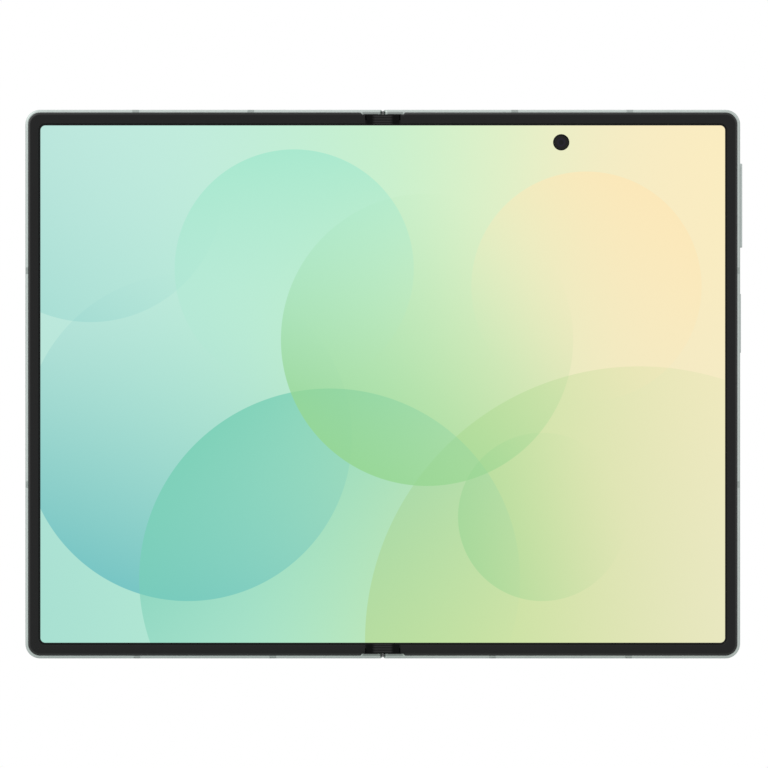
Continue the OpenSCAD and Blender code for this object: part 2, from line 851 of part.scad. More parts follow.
module camera_island() {
    r = island_w / 2;
    color("#aab6b2") stand() translate([island_x, island_y, glass_t]) mirror([0, 0, 1]) difference() {
        union() {
            for (s = [-1, 1]) translate([0, s * (island_l - island_w) / 2, 0]) rotate_extrude()
                intersection() {
                    island_section(r);
                    square([r, island_t + glass_t]);
                }
            along((island_w - island_l) / 2, (island_l - island_w) / 2) for (s = [0, 1]) mirror([s, 0])
                island_section(r);
        }
        for (y = lens_y) translate([0, y - island_y, -through])
            cylinder(r = window_r - 0.8, h = bump + 3 * through);
        translate([0, flash_y - island_y, -through]) {
            cylinder(r = flash_r - 0.4, h = bump + 3 * through);
            translate([0, 0, through + island_t + glass_t - 0.4])
                cylinder(r = flash_r + fit_gap, h = through);
        }
    }
}

module lens_rings() {
    chamfer = 0.25;
    color("#9da8a5") stand() at_lenses() translate([0, 0, -island_t]) mirror([0, 0, 1]) rotate_extrude()
        polygon([
            [window_r, 0], [ring_r, 0], [ring_r, ring_t - chamfer], [ring_r - chamfer, ring_t],
            [window_r + chamfer, ring_t], [window_r, ring_t - chamfer]
        ]);
}

module lens_windows() {
    color("#1c2024") stand() at_lenses() translate([0, 0, -island_t - ring_t + 0.3])
        cylinder(r = window_r - fit_gap, h = ring_t - 0.3);
}

module flash_window() {
    color("#e9e2c8") stand() translate([island_x, flash_y, -island_t]) cylinder(r = flash_r, h = 0.4);
}

// Rear camera modules: a barrel in the island and a block in the upper pocket
module rear_cameras() {
    color("#303438") stand() at_lenses() {
        translate([0, 0, -island_t]) cylinder(r = window_r - 0.9, h = island_t + glass_t);
        translate([0, 0, glass_t]) linear_extrude(mid_bottom - glass_t - 0.1)
            round_rect(-window_r, -window_r, window_r, window_r, 1);
    }
}

module front_camera() {
    color("#1b1b1e") stand() translate([punch_x, punch_y, 0]) {
        translate([0, 0, mid_bottom - 2.2]) linear_extrude(2.1)
            round_rect(-camera_block, -camera_block, camera_block, camera_block, 0.6);
        translate([0, 0, mid_bottom - 0.11])
            cylinder(d = punch_d - 0.1, h = screen_bottom - mid_bottom + 0.11);
        translate([0, 0, screen_bottom - 0.01]) cylinder(d = punch_d - 0.5, h = panel_t - 0.08);
    }
}

module cover_glass() {
    color("#15171a") stand() mirrored() cover_sheet();
}

module cover_display() {
    color("#202428") stand() mirrored() translate([0, 0, glass_t]) linear_extrude(0.6) difference() {
        round_rect(pocket_start + 0.4, battery_bottom + 0.3, pocket_x - 0.4, battery_top - 0.3, 1.8);
        translate([pocket_start + 6, battery_bottom + 6]) circle(0.8);
    }
}

module cover_camera() {
    color("#1b1b1e") stand() mirrored() translate([punch_x, punch_y - 2, glass_t]) {
        cylinder(r = 1.9, h = 0.8);
        translate([0, 0, 0.79]) linear_extrude(1.9)
            round_rect(-camera_block, -camera_block, camera_block, camera_block, 0.6);
    }
}

// ---------- inner parts ----------

// Foil cell with round edges along its sides
module battery(z0) {
    t = mid_bottom - 0.1 - z0;
    r = t / 2;
    x0 = pocket_start + 4.4;
    x1 = pocket_x - key_room - 0.2;
    color("#4a4e52") stand() along(battery_bottom + 1, battery_top - 1) {
        translate([x0 + r, z0]) square([x1 - x0 - 2 * r, t]);
        for (x = [x0 + r, x1 - r]) translate([x, z0 + r]) circle(r);
    }
}

module right_battery() {
    battery(glass_t + 0.1);
}

module left_battery() {
    mirrored() battery(glass_t + 0.7);
}

// Board with a notch around a camera, x_out wide; z is measured down from the middle plate
module circuit_board(x_out, notch_y) {
    notch = camera_block + 0.5;
    translate([0, 0, mid_bottom - board_t]) linear_extrude(board_t) difference() {
        round_rect(arm_end + 1, battery_top + rib_t + 0.4, x_out, pocket_y - 0.4, 1.6);
        translate([punch_x - notch, notch_y - notch]) square(2 * notch);
    }
}

// Shield can of height h on a board, between two corners
module shield_can(x0, y0, x1, y1, h) {
    translate([x0, y0, mid_bottom - board_t - h]) cube([x1 - x0, y1 - y0, h + 0.01]);
}

module main_board() {
    x0 = arm_end + can_border;
    y0 = battery_top + can_border;
    x_out = island_x - window_r - 1;
    x_split = x0 + 18;
    y_split = y0 + 16;
    color("#1f5a41") stand() {
        circuit_board(x_out, punch_y);
        shield_can(x0, y0, x_split, y_split, 1.2);
        shield_can(x0, y_split + can_gap, x_split, pocket_y - 14, 0.9);
        shield_can(x_split + can_gap, y0, x_out - 11.5, punch_y - 18, 1.2);
    }
}

module sub_board() {
    color("#1f5a41") stand() mirrored() {
        circuit_board(pocket_x - 0.8, punch_y - 2);
        shield_can(arm_end + can_border, battery_top + can_border, pocket_x - 45, punch_y - 20, 1.1);
    }
}

// Receptacle: round-ended shell with a tongue and a closed rear
module usb_port() {
    color("#8d9296") stand() translate([0, -half_h + 0.05, 0]) rotate([-90, 0, 0]) {
        difference() {
            linear_extrude(port_depth) capsule_flat(port_x, -port_z, port_w, port_h);
            translate([0, 0, -through]) linear_extrude(port_depth - 0.8 + through)
                capsule_flat(port_x, -port_z, port_w - 2 * port_wall, port_h - 2 * port_wall);
        }
        translate([port_x - 3.35, -port_z - 0.35, 1]) cube([6.7, 0.7, port_depth - 1.5]);
    }
}

module loudspeaker() {
    color("#34383b") stand() translate([0, 0, glass_t + 0.1]) linear_extrude(mid_bottom - glass_t - 0.2)
        round_rect(speaker_x - speaker_w / 2, -pocket_y + 0.3, speaker_x + speaker_w / 2,
            battery_bottom - rib_t - 6, 1.5);
}

module earpiece() {
    color("#34383b") stand() translate([0, 0, glass_t + 0.1]) linear_extrude(0.7)
        round_rect(earpiece_x - earpiece_w / 2, pocket_y - 5.2,
            earpiece_x + earpiece_w / 2, pocket_y - 0.3, 1);
}

module vibration_motor() {
    color("#a9adb0") stand() translate([0, 0, glass_t + 0.1]) linear_extrude(mid_bottom - glass_t - 0.2)
        round_rect(arm_end + 3, -pocket_y + 1.5, arm_end + 13, battery_bottom - rib_t - 8, 1);
}

// Flexible strip with three dome switches behind the keys
module key_switches() {
    x = pocket_x - key_room + 0.3;
    color("#b08a3c") stand() {
        translate([x, power_y - 6, key_z - 0.9]) cube([0.2, volume_y - power_y + 14, 1.8]);
        for (y = [power_y, volume_y - 5.5, volume_y + 5.5])
            translate([x + 0.19, y, key_z]) rotate([0, 90, 0]) cylinder(r = 0.9, h = 0.26);
    }
}

// A key: rounded cap in the rail, a flange behind it and a nub that meets the switch
module key(y, l, out, nubs) {
    shoulder = 0.12;
    color("#aeb9b5") stand() {
        across(pocket_x - flange_t - 0.12, half_w + out - shoulder) key_outline(y, l, 0);
        across(half_w + out - shoulder - 0.01, half_w + out) key_outline(y, l, -shoulder);
        translate([pocket_x - flange_t - 0.12, y - l / 2 - 0.9, key_z - key_h / 2 - 0.2])
            cube([flange_t, l + 1.8, key_h + 0.4]);
        for (n = nubs) translate([pocket_x - flange_t - 0.42, y + n, key_z]) rotate([0, 90, 0])
            cylinder(r = 0.6, h = 0.31);
    }
}

module volume_key() {
    key(volume_y, volume_l, volume_out, [-5.5, 5.5]);
}

module power_key() {
    key(power_y, power_l, power_out, [0]);
}

// Card tray: outer face flush with the edge, and a frame with a notched card seat
module sim_tray() {
    color(frame_colour) stand() mirrored() {
        difference() {
            union() {
                translate([half_w - 1.2, tray_y - tray_l / 2, tray_z - tray_h / 2])
                    cube([1.2, tray_l, tray_h]);
                translate([half_w - tray_depth, tray_y - tray_body_l / 2, tray_z - tray_body_t / 2])
                    cube([tray_depth - 1.19, tray_body_l, tray_body_t]);
            }
            translate([half_w - tray_depth + 1, tray_y - tray_body_l / 2 + 1, tray_z - through])
                cube([tray_depth - 3.4, tray_body_l - 2, 2 * through]);
            // hole for the ejecting pin
            translate([half_w - 2, tray_y + tray_l / 2 - 1.6, tray_z]) rotate([0, 90, 0])
                cylinder(r = 0.4, h = 3);
        }
    }
}

// Magnets that hold the folded halves together, against the outer rail
module magnets() {
    color("#777c80") stand() for (y = [-magnet_y, magnet_y])
        translate([magnet_in, y - magnet_l / 2, glass_t + 0.1]) cube([magnet_w, magnet_l, 1.1]);
}

module right_magnets() {
    magnets();
}

module left_magnets() {
    mirrored() magnets();
}

right_frame();
left_frame();
right_bezel();
left_bezel();
right_antenna_breaks();
left_antenna_breaks();
right_screen();
left_screen();
fold_screen();
right_support_plate();
left_support_plate();
right_wing_plate();
left_wing_plate();
centre_plate();
top_fold_bridge();
bottom_fold_bridge();
spine_cover();
top_spine_cap();
bottom_spine_cap();
top_hinge_housing();
bottom_hinge_housing();
top_right_arm();
bottom_right_arm();
top_left_arm();
bottom_left_arm();
top_right_pinion();
bottom_right_pinion();
top_left_pinion();
bottom_left_pinion();
right_arm_screws();
left_arm_screws();
rear_glass();
camera_island();
lens_rings();
lens_windows();
flash_window();
rear_cameras();
front_camera();
cover_glass();
cover_display();
cover_camera();
right_battery();
left_battery();
main_board();
sub_board();
usb_port();
loudspeaker();
earpiece();
vibration_motor();
key_switches();
volume_key();
power_key();
sim_tray();
right_magnets();
left_magnets();
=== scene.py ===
import json
import math

import bmesh
import bpy
from mathutils import Matrix, Vector


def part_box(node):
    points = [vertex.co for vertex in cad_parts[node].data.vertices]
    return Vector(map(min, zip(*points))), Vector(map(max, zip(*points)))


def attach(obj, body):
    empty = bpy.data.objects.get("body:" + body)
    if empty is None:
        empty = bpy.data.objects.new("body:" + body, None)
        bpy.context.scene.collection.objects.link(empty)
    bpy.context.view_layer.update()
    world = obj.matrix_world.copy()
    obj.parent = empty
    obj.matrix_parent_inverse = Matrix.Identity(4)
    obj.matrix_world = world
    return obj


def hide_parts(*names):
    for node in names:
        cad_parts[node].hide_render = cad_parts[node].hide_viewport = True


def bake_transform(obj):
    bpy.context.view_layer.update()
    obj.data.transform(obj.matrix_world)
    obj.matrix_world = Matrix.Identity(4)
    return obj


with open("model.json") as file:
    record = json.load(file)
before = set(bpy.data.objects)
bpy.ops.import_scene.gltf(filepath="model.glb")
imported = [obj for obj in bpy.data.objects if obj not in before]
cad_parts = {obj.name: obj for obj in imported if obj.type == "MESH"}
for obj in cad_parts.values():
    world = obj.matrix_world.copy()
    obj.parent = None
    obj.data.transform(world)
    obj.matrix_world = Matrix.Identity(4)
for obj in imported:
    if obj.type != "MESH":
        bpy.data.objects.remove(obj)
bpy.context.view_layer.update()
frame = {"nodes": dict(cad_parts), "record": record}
nodes = frame["nodes"]
print("phone: frame loaded,", len(nodes), "CAD nodes")

# ---- where things are ----
# Pieces are modelled in millimetres on the phone lying flat: x right, y up from the middle,
# z towards the viewer from the back covers. standUp then puts them in the frame, in metres.

mm = 0.001
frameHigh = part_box("right_frame")[1]
halfWide = frameHigh.x / mm
halfHigh = frameHigh.z / mm / 2
backY = frameHigh.y
bezelTop = (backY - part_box("right_bezel")[0].y) / mm
seatZ = (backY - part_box("right_bezel")[1].y) / mm  # floor under the bezel
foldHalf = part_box("right_screen")[0].x / mm
standUp = Matrix(((mm, 0, 0, 0), (0, 0, -mm, backY), (0, mm, 0, halfHigh * mm), (0, 0, 0, 1)))


def flat(node):  # a CAD node's box in the flat drawing: low corner and high corner
    low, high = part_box(node)
    return (Vector((low.x / mm, low.z / mm - halfHigh, (backY - high.y) / mm)),
            Vector((high.x / mm, high.z / mm - halfHigh, (backY - low.y) / mm)))


def middle(node):
    low, high = flat(node)
    return (low + high) / 2


# ---- camera, light and floor ----

view = {
    "shownWidth": 0.17344,  # metres across the picture
    "centreX": 0.00028,
    "centreZ": 0.06197,
    "distance": 1.0,
}
camera = bpy.data.objects.new("camera", bpy.data.cameras.new("camera"))
camera.data.type = "ORTHO"
camera.data.ortho_scale = view["shownWidth"]
camera.location = (view["centreX"], -view["distance"], view["centreZ"])
camera.rotation_euler = (math.radians(90), 0, 0)
bpy.context.scene.collection.objects.link(camera)
bpy.context.scene.camera = camera
bpy.context.scene.view_settings.view_transform = "Standard"


def softLamp(name, place, size, power):
    lamp = bpy.data.objects.new(name, bpy.data.lights.new(name, "AREA"))
    lamp.data.shape = "DISK"
    lamp.data.size = size
    lamp.data.energy = power
    lamp.location = place
    aim = Vector((0, 0, halfHigh * mm)) - Vector(place)
    lamp.rotation_euler = aim.to_track_quat("-Z", "Y").to_euler()
    bpy.context.scene.collection.objects.link(lamp)


lampSetup = {  # place, width across, power
    "keyLamp": ((-0.66, -0.62, 0.66), 1.40, 3.0),
    "sideLamp": ((0.85, -0.35, 0.35), 1.10, 1.2),
    "rearLamp": ((-0.30, 0.85, 0.70), 1.80, 3.2),
}
for lampName, (place, size, power) in lampSetup.items():
    softLamp(lampName, place, size, power)


# ---- shader tools ----

def tone(code):  # "#rrggbb" as linear red, green, blue, alpha
    parts = [int(code[i:i + 2], 16) / 255 for i in (1, 3, 5)]
    return (*[p / 12.92 if p <= 0.04045 else ((p + 0.055) / 1.055) ** 2.4 for p in parts], 1)


class Value:  # a socket that can be added, multiplied and so on
    def __init__(self, tree, socket):
        self.tree = tree
        self.socket = socket

    def maths(self, kind, *terms, clamp=False):
        settings = {"operation": kind, "use_clamp": clamp}
        return self.tree.add("Math", settings, dict(enumerate(terms)))

    def __add__(self, other):
        return self.maths("ADD", self, other)

    def __sub__(self, other):
        return self.maths("SUBTRACT", self, other)

    def __rsub__(self, other):
        return self.maths("SUBTRACT", other, self)

    def __mul__(self, other):
        return self.maths("MULTIPLY", self, other)

    def __truediv__(self, other):
        return self.maths("DIVIDE", self, other)

    def __pow__(self, other):
        return self.maths("POWER", self, other)

    def __abs__(self):
        return self.maths("ABSOLUTE", self)

    def clamped(self):
        return self.maths("ADD", self, 0, clamp=True)

    def atLeast(self, other):
        return self.maths("MAXIMUM", self, other)

    def sine(self):
        return self.maths("SINE", self)

    def step(self, start, end):  # 0 before start, 1 after end, smooth between
        return self.tree.add("MapRange", {"interpolation_type": "SMOOTHSTEP"},
                             {0: self, 1: start, 2: end, 3: 0, 4: 1})

    def within(self, span):  # 0 before the span's start, its third number after its end
        start, end, amount = span
        return self.step(start, end) * amount

    def also(self, name):  # another output of the same node
        return Value(self.tree, self.socket.node.outputs[name])


class Tree:  # the nodes of one material, or of the world
    def __init__(self, owner):
        owner.use_nodes = True
        self.nodes = owner.node_tree.nodes
        self.links = owner.node_tree.links
        self.nodes.clear()

    def feed(self, socket, value):
        if isinstance(value, Value):
            self.links.new(value.socket, socket)
        else:
            socket.default_value = value

    def add(self, kind, settings=None, sockets=None, output=0):
        made = self.nodes.new("ShaderNode" + kind)
        for name, value in (settings or {}).items():
            if name == "stops":
                ramp = made.color_ramp.elements
                while len(ramp) < len(value):
                    ramp.new(0.5)
                for element, (position, colour) in zip(ramp, value):
                    element.position = position
                    element.color = colour
            elif name == "curve":
                made.color_ramp.interpolation = value
            else:
                setattr(made, name, value)
        for name, value in (sockets or {}).items():
            self.feed(made.inputs[name], value)
        return Value(self, made.outputs[output])

    def mix(self, factor, low, high):  # two colours
        return self.add("Mix", {"data_type": "RGBA"}, {0: factor, 6: low, 7: high}, 2)

    def place(self, coords="Object"):  # a point in millimetres
        return self.add("VectorMath", {"operation": "SCALE"},
                        {0: self.add("TexCoord").also(coords), "Scale": 1 / mm})

    def along(self, coords="Object"):  # its x, height from the middle and depth from the back
        place = self.place(coords)
        x = self.add("SeparateXYZ", None, {0: place})
        up = x.also("Z" if coords == "Object" else "Y") - halfHigh
        return x, up, backY / mm - x.also("Y"), place

    def noise(self, place, scale, detail=2.0, stretch=None):
        if stretch:
            place = self.add("Mapping", None, {0: place, "Scale": stretch})
        return self.add("TexNoise", None, {"Vector": place, "Scale": scale, "Detail": detail})


class Finish(Tree):  # a material around one Principled shader
    def __init__(self, name, **fixed):
        self.material = bpy.data.materials.new(name)
        Tree.__init__(self, self.material)
        self.shader = self.nodes.new("ShaderNodeBsdfPrincipled")
        output = self.nodes.new("ShaderNodeOutputMaterial")
        self.links.new(self.shader.outputs[0], output.inputs[0])
        for name, value in fixed.items():
            self.set(name, value)

    def set(self, name, value):
        self.feed(self.shader.inputs[name.replace("_", " ")], value)

    def bump(self, height, distance, strength=1.0):
        self.set("Normal", self.add("Bump", None, {
            "Height": height, "Distance": distance, "Strength": strength}))


# ---- room ----

room = {
    "ambient": 0.64,  # what the world gives to matt surfaces
    "side": 0.80,  # how bright the walls are in reflections, and how much brighter above and left
    "up": 0.16,
    "left": 0.22,
    "viewerDim": (0.25, 0.95, 0.02),  # darker behind the camera: from and to this slope, by
    "backDim": (0.4, 1.0, 0.42),  # and behind the phone
    "floorSize": 9.0,
    "paper": 0.82,  # grey of the floor
    "paperGlow": 0.62,  # its share of plain light as the camera sees it, and in reflections
    "paperShine": 0.45,
    "nearDim": (0.0, 0.03, 0.12),  # darker in reflections behind the phone: from, to, by
    "farDim": (0.03, 0.45, 0.42),
    "darkest": 0.02,
    "farTone": 0.888,  # plain grey of the floor far away, and of what shows below its edge
    "farFrom": (0.5, 1.0),
    "below": (0.01, 0.04),  # slope at which the world turns to that grey
}


def makeSky():
    world = bpy.data.worlds.new("room")
    bpy.context.scene.world = world
    sky = Tree(world)
    rays = sky.add("LightPath")
    seen = (rays + rays.also("Is Transmission Ray")).clamped()
    glossy = rays.also("Is Glossy Ray")
    x = sky.add("SeparateXYZ", None, {0: sky.add("TexCoord")})
    y, z = x.also("Y"), x.also("Z")
    walls = z * room["up"] - x * room["left"] + room["side"]
    dim = (0 - y).within(room["viewerDim"]) + y.within(room["backDim"])
    below = (0 - z).step(*room["below"])
    shown = seen * (1 - below * (1 - room["farTone"]))
    matt = (1 - seen - glossy).clamped()
    strength = shown + glossy * walls * (1 - dim) + matt * room["ambient"]
    back = sky.add("Background", None, {"Color": (1, 1, 1, 1), "Strength": strength})
    output = sky.nodes.new("ShaderNodeOutputWorld")
    sky.links.new(back.socket, output.inputs[0])


def makeFloor():
    bm = bmesh.new()
    bmesh.ops.create_grid(bm, x_segments=1, y_segments=1, size=room["floorSize"] / 2)
    mesh = bpy.data.meshes.new("floor")
    bm.to_mesh(mesh)
    bm.free()
    floor = bpy.data.objects.new("floor", mesh)
    bpy.context.scene.collection.objects.link(floor)
    paper = bpy.data.materials.new("floorPaper")
    tree = Tree(paper)
    rays = tree.add("LightPath")
    seen = (rays + rays.also("Is Transmission Ray")).clamped()
    glossy = rays.also("Is Glossy Ray")
    x = tree.add("SeparateXYZ", None, {0: tree.add("TexCoord").also("Object")})
    y = x.also("Y")
    matt = tree.add("BsdfDiffuse", None, {"Color": (*[room["paper"]] * 3, 1)})
    dark = tree.add("BsdfDiffuse", None, {"Color": (*[room["darkest"]] * 3, 1)})
    glow = tree.add("Emission", None, {"Color": (1, 1, 1, 1), "Strength": 1.0})
    even = tree.add("Emission", None, {"Color": (1, 1, 1, 1), "Strength": room["farTone"]})
    share = seen * room["paperGlow"] + glossy * room["paperShine"]
    dim = y.within(room["nearDim"]) + y.within(room["farDim"])
    away = ((x * x + y * y) ** 0.5).step(*room["farFrom"])
    both = tree.add("MixShader", None, {0: share, 1: matt, 2: glow})
    both = tree.add("MixShader", None, {0: glossy * dim, 1: both, 2: dark})
    both = tree.add("MixShader", None, {0: seen * away, 1: both, 2: even})
    output = tree.nodes.new("ShaderNodeOutputMaterial")
    tree.links.new(both.socket, output.inputs[0])
    mesh.materials.append(paper)


makeSky()
makeFloor()
print("phone: room and lamps ready")


# ---- finishes ----

grainRelief = 0.00001  # metres
polishRelief = 0.000004


def shade(code, amount):
    return tuple(amount * part for part in tone(code)[:3]) + (1,)


def reachFrom(x, y, centre):  # how far a point is from a centre
    dx = x - centre[0]
    dy = y - centre[1]
    return (dx * dx + dy * dy) ** 0.5


def cornerReach(x, y, halfX, halfY, corner):  # as great as the corner radius along the outline
    qx = (abs(x) - (halfX - corner)).atLeast(0)
    qy = (abs(y) - (halfY - corner)).atLeast(0)
    return (qx * qx + qy * qy) ** 0.5


def satinMetal(name, colour, roughness=0.36, grain=7.0):  # blasted and anodised aluminium
    finish = Finish(name, Metallic=1.0)
    place = finish.place()
    cloud = finish.noise(place, 0.035, 3)
    finish.set("Base_Color", finish.mix(cloud, tone(colour), shade(colour, 0.94)))
    finish.set("Roughness", cloud * 0.08 + (roughness - 0.04))
    finish.bump(finish.noise(place, grain, 2), grainRelief, 0.5)
    return finish.material


frameZones = {  # from, to: x from the fold, height from the middle, depth from the back
    "flankShadeAndRough": (0.8, 0.45),  # painted shade on the rounded flanks at the fold, which are also rougher
    "flankShadeEnd": (61.6, 61.4),
    "strip": (4.75, 4.45),  # painted shade, beside the fold bridges
    "stripEnd": (61.48, 61.3),
    "inside": (4.3, 4.2),  # painted black shade on the walls inside
    "paintedShadeEnd": (60.92, 60.86),
    "paintedShadeDepth": (2.5, 2.7),
    "corner": 5,
    "crown": 0.12,  # how far the metal falls towards its outline, as bump
}


def frameFinish(name, colour):  # the same metal, crowned at the rim, with painted shade at the fold and painted black shade inside
    finish = Finish(name)
    x, up, depth, place = finish.along()
    side, end = abs(x), abs(up)
    cloud = finish.noise(place, 0.035, 3)
    flankShadeAndRough = side.step(*frameZones["flankShadeAndRough"])
    strip = side.step(*frameZones["strip"]) * end.step(*frameZones["stripEnd"])
    # painted shade: the walls inside at the fold are painted black, not metal
    inside = side.step(*frameZones["inside"]) * end.step(*frameZones["paintedShadeEnd"])
    inside = inside * depth.step(*frameZones["paintedShadeDepth"])
    # painted shade: the metal colour is halved on the flanks at the fold and on the strip beside
    # the fold bridges
    paintedShade = (flankShadeAndRough * end.step(*frameZones["flankShadeEnd"]) * 0.5 + strip).clamped()
    metal = finish.mix(cloud, tone(colour), shade(colour, 0.94))
    metal = finish.mix(paintedShade, metal, shade(colour, 0.5))
    finish.set("Base_Color", finish.mix(inside, metal, tone("#101111")))
    finish.set("Metallic", 1 - inside)
    finish.set("Roughness", cloud * 0.08 + 0.32 + flankShadeAndRough * 0.12 + inside * 0.2)
    corner = frameZones["corner"]
    crown = (corner - cornerReach(x, up, halfWide, halfHigh, corner)).clamped()
    finish.bump(finish.noise(place, 7.0, 2) * 0.005 + crown * frameZones["crown"], mm)
    return finish.material


def brushedMetal(name, colour, roughness=0.3, stretch=(1, 1, 0.04)):  # fine lines along one axis
    finish = Finish(name, Metallic=1.0)
    lines = finish.noise(finish.place(), 6.0, 3, stretch)
    finish.set("Base_Color", finish.mix(lines, tone(colour), shade(colour, 0.8)))
    finish.set("Roughness", lines * 0.15 + (roughness - 0.07))
    finish.bump(lines, grainRelief, 0.4)
    return finish.material


def spineFinish(name, colour, shadeDepth=(2.55, 2.68)):  # brushed outside, painted black shade towards the hinge
    finish = Finish(name)
    x, up, depth, place = finish.along()
    lines = finish.noise(place, 6.0, 3, (1, 1, 0.04))
    # painted shade: deep towards the hinge the metal is painted near black
    inside = depth.step(*shadeDepth)
    metal = finish.mix(lines, tone(colour), shade(colour, 0.8))
    finish.set("Base_Color", finish.mix(inside, metal, tone("#0c0d0d")))
    finish.set("Metallic", 1 - inside)
    finish.set("Roughness", lines * 0.15 + 0.27 + inside * 0.2)
    finish.bump(lines, grainRelief, 0.4)
    return finish.material


def turnedMetal(name, colour, centres, pitch=0.09):  # fine rings around the nearest lens
    finish = Finish(name, Metallic=1.0)
    x, up, depth, place = finish.along()
    near, other = [reachFrom(x, up, centre) for centre in centres]
    rings = (near.maths("MINIMUM", near, other) * (2 * math.pi / pitch)).sine() * 0.5 + 0.5
    cloud = finish.noise(place, 0.08, 2)
    finish.set("Base_Color", finish.mix(cloud, tone(colour), shade(colour, 0.88)))
    finish.set("Roughness", rings * 0.05 + cloud * 0.06 + 0.20)
    finish.bump(rings, polishRelief, 0.5)
    return finish.material


def grainedPlastic(name, colour, roughness=0.45, grain=5.0, relief=grainRelief, specular=0.5):
    finish = Finish(name, Specular_IOR_Level=specular)
    place = finish.place()
    pores = finish.noise(place, grain, 3)
    cloud = finish.noise(place, 0.06, 2)
    finish.set("Base_Color", finish.mix(cloud, tone(colour), shade(colour, 1.25)))
    finish.set("Roughness", pores * 0.12 + (roughness - 0.06))
    finish.bump(pores, relief, 0.5)
    return finish.material


def bezelFinish(name, colour):  # black plastic, glossier on the rounded rim
    finish = Finish(name, Specular_IOR_Level=0.3, Coat_Roughness=0.25)
    x, up, depth, place = finish.along()
    pores = finish.noise(place, 4.0, 3)
    cloud = finish.noise(place, 0.06, 2)
    corner = bezel["corner"]
    rim = (corner - cornerReach(x, up, bezel["wide"], bezel["high"], corner)).step(0.6, 0.2)
    finish.set("Base_Color", finish.mix(cloud, tone(colour), shade(colour, 1.3)))
    finish.set("Roughness", pores * 0.12 + 0.24)
    finish.set("Coat_Weight", rim * 0.7)
    finish.bump(pores, polishRelief, 0.5)
    return finish.material


def bridgeRubber(name, middleColour, shadedSideColour):  # duller, and darker with painted shade, beside the ribs in the middle
    finish = Finish(name, Specular_IOR_Level=0.1, Coat_Roughness=0.3)
    x, up, depth, place = finish.along()
    pores = finish.noise(place, 5.0, 3)
    sides = abs(x).step(bridge["crown"] - 0.4, bridge["crown"] + 0.5)
    turns = (abs(up) - bridge["rib"]) * (2 * math.pi / bridge["ribPitch"])
    ribs = (turns + math.pi / 2).sine()
    # painted shade: the sides get a darker colour than the middle
    finish.set("Base_Color", finish.mix(sides, tone(middleColour), tone(shadedSideColour)))
    finish.set("Roughness", pores * 0.1 + 0.36 + sides * 0.1)
    finish.set("Coat_Weight", (1 - sides) * (ribs * 0.25 + 0.4))
    finish.bump(pores, polishRelief, 0.5)
    return finish.material


def tabFinish(name, litEndColour, shadedDeepColour, end=(61.40, 61.50)):  # painted highlight at the outer end, painted shade further in
    finish = Finish(name, Roughness=0.5)
    x, up, depth, place = finish.along()
    # painted light: a lighter colour at the outer end, a darker colour deeper in
    colour = finish.mix(abs(up).step(*end), tone(shadedDeepColour), tone(litEndColour))
    specks = finish.noise(place, 4.0, 2) * 0.2
    finish.set("Base_Color", finish.mix(specks, colour, tone("#808583")))
    return finish.material


screenDesign = {
    "wide": 154.6,  # lit area
    "high": 116.8,
    "corner": 1.1,
    "blur": 0.05,  # of its edge, and of a disc's
    "discBlur": 0.06,
    # from left to right along the upper and the lower edge
    "upper": [(0.0, "#c3e9df"), (0.25, "#bdeadb"), (0.5, "#c4efcb"), (0.68, "#dfefc6"),
              (0.84, "#f6e9c2"), (1.0, "#faebbe")],
    "lower": [(0.0, "#a3dccf"), (0.3, "#b6ead4"), (0.5, "#bfe8b4"), (0.68, "#dbe6b2"),
              (0.84, "#ece6bf"), (1.0, "#efe8c6")],
    # overlapping discs: centre, radius, colour, strength, in degrees the side where it is strongest
    "discs": [
        ((58, -58), 62, "#bcdb92", 0.85, 185),
        ((-66, 44), 30, "#8fd3cc", 0.55, 215),
        ((-44, -12), 37, "#66bdbf", 0.85, 250),
        ((-12, -44), 43, "#74cdb3", 0.85, 130),
        ((10, 10), 33, "#93d48d", 0.85, 235),
        ((-20, 26), 27, "#a2e6cc", 0.85, 100),
        ((46, 22), 26, "#fce5b4", 0.75, 60),
        ((36, -30), 19, "#94d28f", 0.55, 200),
    ],
}


def screenFinish(name, coords):  # a lit panel under glass, with a plain design of overlapping discs
    finish = Finish(name, Base_Color=tone("#060708"), Roughness=0.12, Emission_Strength=1.0,
                    Specular_IOR_Level=0.18)
    x, up, depth, place = finish.along(coords)
    wide, high, corner = [screenDesign[key] for key in ("wide", "high", "corner")]
    across = x / wide + 0.5
    rows = []
    for row in ("lower", "upper"):
        stops = [(at, tone(code)) for at, code in screenDesign[row]]
        rows.append(finish.add("ValToRGB", {"stops": stops, "curve": "B_SPLINE"}, {0: across}))
    colour = finish.mix((up / high + 0.5).step(0, 1), *rows)
    blur = screenDesign["discBlur"]
    for centre, radius, code, strength, side in screenDesign["discs"]:
        inside = reachFrom(x, up, centre).step(radius + blur, radius - blur)
        turn = math.radians(side)
        lean = (x - centre[0]) * math.cos(turn) + (up - centre[1]) * math.sin(turn)
        lean = (lean / (2 * radius) + 0.5).clamped() ** 1.5
        colour = finish.mix(inside * lean * strength, colour, tone(code))
    blur = screenDesign["blur"]
    lit = cornerReach(x, up, wide / 2, high / 2, corner).step(corner + blur, corner - blur)
    finish.set("Emission_Color", finish.mix(lit, (0, 0, 0, 1), colour))
    return finish.material


